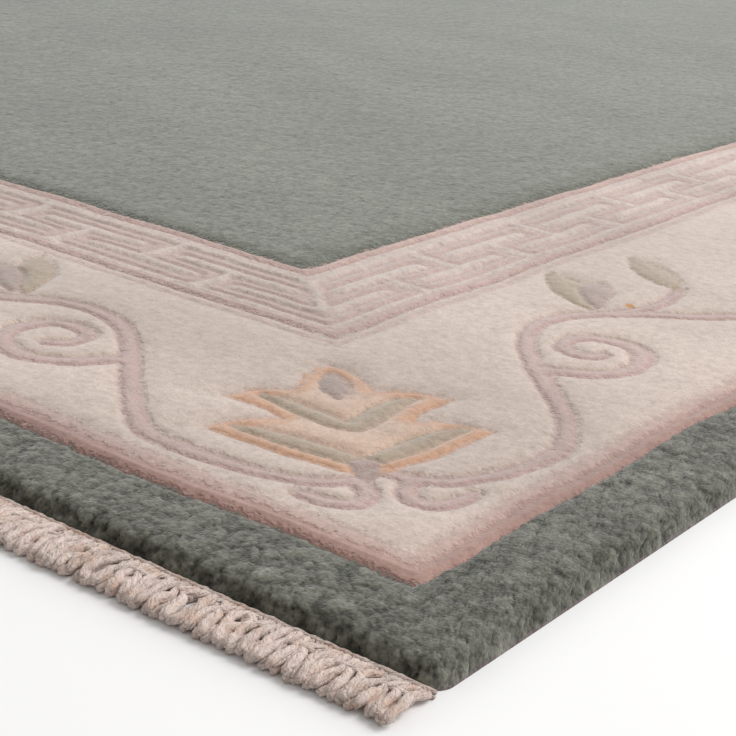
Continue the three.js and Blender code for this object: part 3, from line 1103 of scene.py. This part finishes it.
for name, half_length, half_width, band, other_band, quarter_turn in (
    ("band_front", RUG_HALF_X, RUG_HALF_Y, END_BAND, SIDE_FLEECE, 0),
    ("band_right", RUG_HALF_Y, RUG_HALF_X, SIDE_FLEECE, END_BAND, 1),
    ("band_back", RUG_HALF_X, RUG_HALF_Y, END_BAND, SIDE_FLEECE, 2),
    ("band_left", RUG_HALF_Y, RUG_HALF_X, SIDE_FLEECE, END_BAND, 3),
):
    piece = fleece_side(name, half_length, half_width, band, other_band, quarter_turn)
    piece.data.materials.append(band_wool)
    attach(piece, "root")
    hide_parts("pile_rug")


# Fringes
# Each short end is closed by a narrow cotton braid sewn to the rug. Rolls of its soft spun warp yarn are tied
# together in one knot beside the braid and cut off to short loose tails that lie on the floor.
SEAM_GAP = 0.3
BRAID_WIDTH = 5.0
BRAID_STITCH = 2.1
BRAID_CORD_RADIUS = 1.15
BRAID_STITCH_RADIUS = 0.95
TASSELS = 81
TASSEL_LENGTH = 26.0
TASSEL_HALF_SPREAD = 11.0
TASSEL_LEAN = 5.5
TASSEL_ROLLS = 8
ROLL_SIDES = 7
ROLL_LAYER = 2.3
LOOSE_YARNS = 3
LOOSE_SIDES = 4
LOOSE_THICKNESS = 0.4
STAIN_SIZE = 9.0
STAIN_RANGE = (0.45, 0.72)
FUZZ_SIZE = 1.0
FUZZ_TONE = (0.92, 1.06)
FUZZ_BUMP = 0.5
COTTON_GROOVE_SHADE_RANGE = (0.34, 0.56, 0.45, 0.0)
YARN_TONE = (0.84, 1.10)
COTTON_BUMP = 1.6
COTTON_SURFACE = {"Roughness": 0.95, "Specular IOR Level": 0.2, "Sheen Weight": 0.15}
LOOSE_LIFT = 2.2
YARN_STEP = 2.4
YARN_FUZZ = 0.12
YARN_RAGGED = 1.1
YARN_TWIST = 0.35
STRAND_SPREAD = 1.9
STRAND_LENGTH = 4.0
KNOT_REACH = (5.4, 9.4)
KNOT_TURNS = 1.1
KNOT_HALF_WIDTH = 7.6
KNOT_HALF_HEIGHT = 2.3
KNOT_HEIGHT = 2.9
KNOT_RADIUS = 1.3
KNOT_SIDES = 6
COTTON = (220, 203, 194)
COTTON_GROOVE_SHADE = (184, 156, 144)
COTTON_WARM = (210, 184, 169)

# A roll of yarn from the braid to its cut end: reach as a share of its length, place as a share of the
# tassel's half spread, radius, and how far an upper roll lies over the lower ones
ROLL_SECTIONS = [
    {"place": "in the braid", "reach": -0.08, "spread": 0.85, "radius": 1.2, "over": 0.2},
    {"place": "root", "reach": 0.06, "spread": 0.86, "radius": 1.8, "over": 0.6},
    {"place": "knot", "reach": 0.29, "spread": 0.70, "radius": 1.9, "over": 1.0},
    {"place": "below the knot", "reach": 0.50, "spread": 0.80, "radius": 2.2, "over": 1.0},
    {"place": "belly", "reach": 0.76, "spread": 0.98, "radius": 2.4, "over": 0.9},
    {"place": "cut end", "reach": 1.0, "spread": 1.06, "radius": 2.0, "over": 0.7},
]


def unit_rows(rows):
    """Rows scaled to length one."""
    return rows / np.linalg.norm(rows, axis=1, keepdims=True)


class YarnBundle:
    """Soft yarns gathered into one mesh, with a tone for each and places among its strands."""

    def __init__(self, seed):
        self.random = np.random.default_rng(seed)
        self.points, self.faces, self.strands, self.tones, self.count = [], [], [], [], 0

    def add(self, path, radius, tone, sides, twist=YARN_TWIST, upright=(0.0, 0.0, 1.0)):
        """One closed yarn along a path, uneven round about and ragged at its end."""
        path = np.asarray(path, float)
        steps = len(path)
        ahead = unit_rows(np.gradient(path, axis=0))
        side = unit_rows(np.cross(ahead, upright))
        up = np.cross(side, ahead)
        reach = np.r_[0.0, np.cumsum(np.linalg.norm(np.diff(path, axis=0), axis=1))][:, None]
        turn = np.arange(sides) * 2 * math.pi / sides
        wide = radius[:, None] * (1.0 + YARN_FUZZ * self.random.normal(size=(steps, sides)))
        out = np.cos(turn)[:, None] * side[:, None] + np.sin(turn)[:, None] * up[:, None]
        ring = path[:, None] + wide[..., None] * out
        ragged = self.random.uniform(-1.0, 1.0, (sides, 1))
        ring[-1] += ahead[-1] * YARN_RAGGED * radius[-1] / radius.max() * ragged
        wound = turn - twist * reach / radius.mean()
        strand = np.stack([np.cos(wound), np.sin(wound), 0.0 * wound], -1) * STRAND_SPREAD
        strand[..., 2] = reach / STRAND_LENGTH
        strand += self.random.uniform(0.0, 40.0, 3)
        here = np.arange(steps - 1)[:, None] * sides + np.arange(sides)
        beside = np.arange(steps - 1)[:, None] * sides + (np.arange(sides) + 1) % sides
        around = np.arange(sides)
        onward = (around + 1) % sides
        top = (steps - 1) * sides
        faces = np.vstack([
            np.stack([here, beside, beside + sides], -1).reshape(-1, 3),
            np.stack([here, beside + sides, here + sides], -1).reshape(-1, 3),
            np.column_stack([np.full(sides, steps * sides), onward, around]),
            np.column_stack([np.full(sides, steps * sides + 1), top + around, top + onward]),
        ])
        self.points += [ring.reshape(-1, 3), path[:1], path[-1:]]
        self.strands += [strand.reshape(-1, 3), strand[0, :1], strand[-1, :1]]
        self.faces.append(faces + self.count)
        self.tones.append(np.full(steps * sides + 2, tone))
        self.count += steps * sides + 2

    def finish(self, name, turn_round):
        """The yarns as one object, turned half round for the back of the rug."""
        points = np.vstack(self.points)
        points[:, 2] = np.maximum(points[:, 2], 0.0)
        if turn_round:
            points[:, :2] *= -1
        made = mesh_object(name, points * MM, np.vstack(self.faces))
        add_mark(made, "strand", np.vstack(self.strands))
        add_mark(made, "tone", np.concatenate(self.tones))
        return made


def add_braid(bundle, seam):
    """The braid along the seam: a cord along its upper edge and a row of slanting stitches beside it."""
    random = bundle.random
    run = np.arange(-RUG_HALF_X, RUG_HALF_X + 0.1, 2.0)
    cord = np.column_stack([run, np.full(len(run), seam - 1.2), 2.0 + 0.12 * random.normal(size=len(run))])
    bundle.add(cord, np.full(len(run), BRAID_CORD_RADIUS), 1.0, 5)
    under = np.column_stack([[-RUG_HALF_X, RUG_HALF_X], [seam - 2.8] * 2, [0.9] * 2])
    bundle.add(under, np.full(2, 1.0), 0.2, 5)
    for place in np.arange(-RUG_HALF_X + 1.0, RUG_HALF_X - 1.0, BRAID_STITCH):
        lift = random.normal(0.0, 0.1)
        lean = random.normal(0.0, 0.15)
        stitch = [
            (place - 0.9, seam - 1.9, 1.5 + lift), (place - 0.2 + lean, seam - 3.0, 2.1 + lift),
            (place + 0.5 + lean, seam - 4.1, 1.8 + lift), (place + 1.0, seam - 5.0, 1.0),
        ]
        width = BRAID_STITCH_RADIUS * np.array([0.6, 1.0, 1.0, 0.55])
        bundle.add(stitch, width, 0.5 + random.normal(0.0, 0.14), 5)


def add_tassel(bundle, middle, seam):
    """One tassel: rolls of yarn that leave the braid, gather under a knot and spread to their cut ends."""
    random = bundle.random
    lean = math.tan(math.radians(random.normal(0.0, TASSEL_LEAN)))
    tone = random.normal(0.5, 0.10)
    knot_shift = random.normal(0.0, 0.8)

    def spot(across, reach, height):
        return (middle + across + lean * reach, seam - BRAID_WIDTH - reach, height)

    def add_strand(share, over, thickness, lift, sides):
        """One roll or loose yarn at a share of the tassel's half spread."""
        length = TASSEL_LENGTH * random.uniform(0.95, 1.0)
        rows = []
        for section in ROLL_SECTIONS:
            radius = section["radius"] * thickness * random.uniform(0.9, 1.1)
            across = TASSEL_HALF_SPREAD * section["spread"] * share + random.normal(0.0, 1.1)
            height = radius + (over * ROLL_LAYER + lift) * section["over"] + random.normal(0.0, 0.2)
            rows.append((*spot(across, section["reach"] * length, max(height, radius)), radius))
        rows = np.array(rows)[:, [1, 0, 2, 3]]
        path = smooth_path(rows, YARN_STEP)
        width = np.maximum(path[:, 3], 0.5)
        width[-1] *= 0.75
        bundle.add(path[:, [1, 0, 2]], width, tone + random.normal(0.0, 0.12), sides)

    for number, share in enumerate(np.linspace(-1.0, 1.0, TASSEL_ROLLS)):
        add_strand(share, number % 2, 1.0, 0.0, ROLL_SIDES)
    for share in random.uniform(-0.9, 0.9, LOOSE_YARNS):
        add_strand(share, 1, LOOSE_THICKNESS, LOOSE_LIFT, LOOSE_SIDES)
    knot_turn = np.linspace(0.0, KNOT_TURNS * 2 * math.pi, 13) + random.uniform(2.6, 3.6)
    knot_reach = np.linspace(*KNOT_REACH, len(knot_turn)) + knot_shift
    knot = [
        spot(KNOT_HALF_WIDTH * math.cos(turn), reach, KNOT_HEIGHT + KNOT_HALF_HEIGHT * math.sin(turn))
        for turn, reach in zip(knot_turn, knot_reach)
    ]
    knot_width = KNOT_RADIUS * random.uniform(0.9, 1.1) * np.ones(len(knot))
    knot_width[[0, -1]] *= 0.6
    bundle.add(knot, knot_width, tone + random.normal(0.0, 0.08), KNOT_SIDES, upright=(lean, -1.0, 0.0))


cotton_yarn, cotton_tree, cotton_shader = new_material("cotton_yarn")
cotton_place = add_node(cotton_tree, "ShaderNodeTexCoord").outputs["Object"]
yarn_tone = add_node(cotton_tree, "ShaderNodeAttribute", attribute_name="tone").outputs["Fac"]
strand_place = add_node(cotton_tree, "ShaderNodeAttribute", attribute_name="strand").outputs["Vector"]
cotton_strand = add_node(
    cotton_tree, "ShaderNodeTexNoise", {"Vector": strand_place, "Scale": 1.0, "Detail": 2.0}
).outputs["Fac"]
cotton_fuzz = cloud(cotton_tree, cotton_place, FUZZ_SIZE, 3.0)
cotton_stain = ease(cotton_tree, cloud(cotton_tree, cotton_place, STAIN_SIZE), *STAIN_RANGE)
cotton_colour = mix_colour(cotton_tree, cotton_stain, dyed(COTTON), dyed(COTTON_WARM))
# Painted shade darkens the cotton in the grooves between its twisted strands.
cotton_groove_shade = ease(cotton_tree, cotton_strand, *COTTON_GROOVE_SHADE_RANGE)
cotton_colour = mix_colour(cotton_tree, cotton_groove_shade, cotton_colour, dyed(COTTON_GROOVE_SHADE))
fuzz_tone = ease(cotton_tree, cotton_fuzz, *CLOUD_RANGE, *FUZZ_TONE)
cotton_tone = calc(cotton_tree, "MULTIPLY", ease(cotton_tree, yarn_tone, 0.0, 1.0, *YARN_TONE), fuzz_tone)
cotton_colour = toned(cotton_tree, cotton_colour, cotton_tone)
cotton_relief = calc(cotton_tree, "MULTIPLY_ADD", cotton_fuzz, FUZZ_BUMP, cotton_strand)
dress_shader(cotton_tree, cotton_shader, cotton_colour, cotton_relief, COTTON_BUMP, COTTON_SURFACE)

for node, turn_round, seed in (("fringe_front", False, 21), ("fringe_back", True, 22)):
    bundle = YarnBundle(seed)
    fringe_seam = -RUG_HALF_Y - SEAM_GAP
    add_braid(bundle, fringe_seam)
    for number in range(TASSELS):
        add_tassel(bundle, (number + 0.5) * 2 * RUG_HALF_X / TASSELS - RUG_HALF_X, fringe_seam)
    piece = bundle.finish(node + "_yarns", turn_round)
    piece.data.materials.append(cotton_yarn)
    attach(piece, "root")
    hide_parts(node)
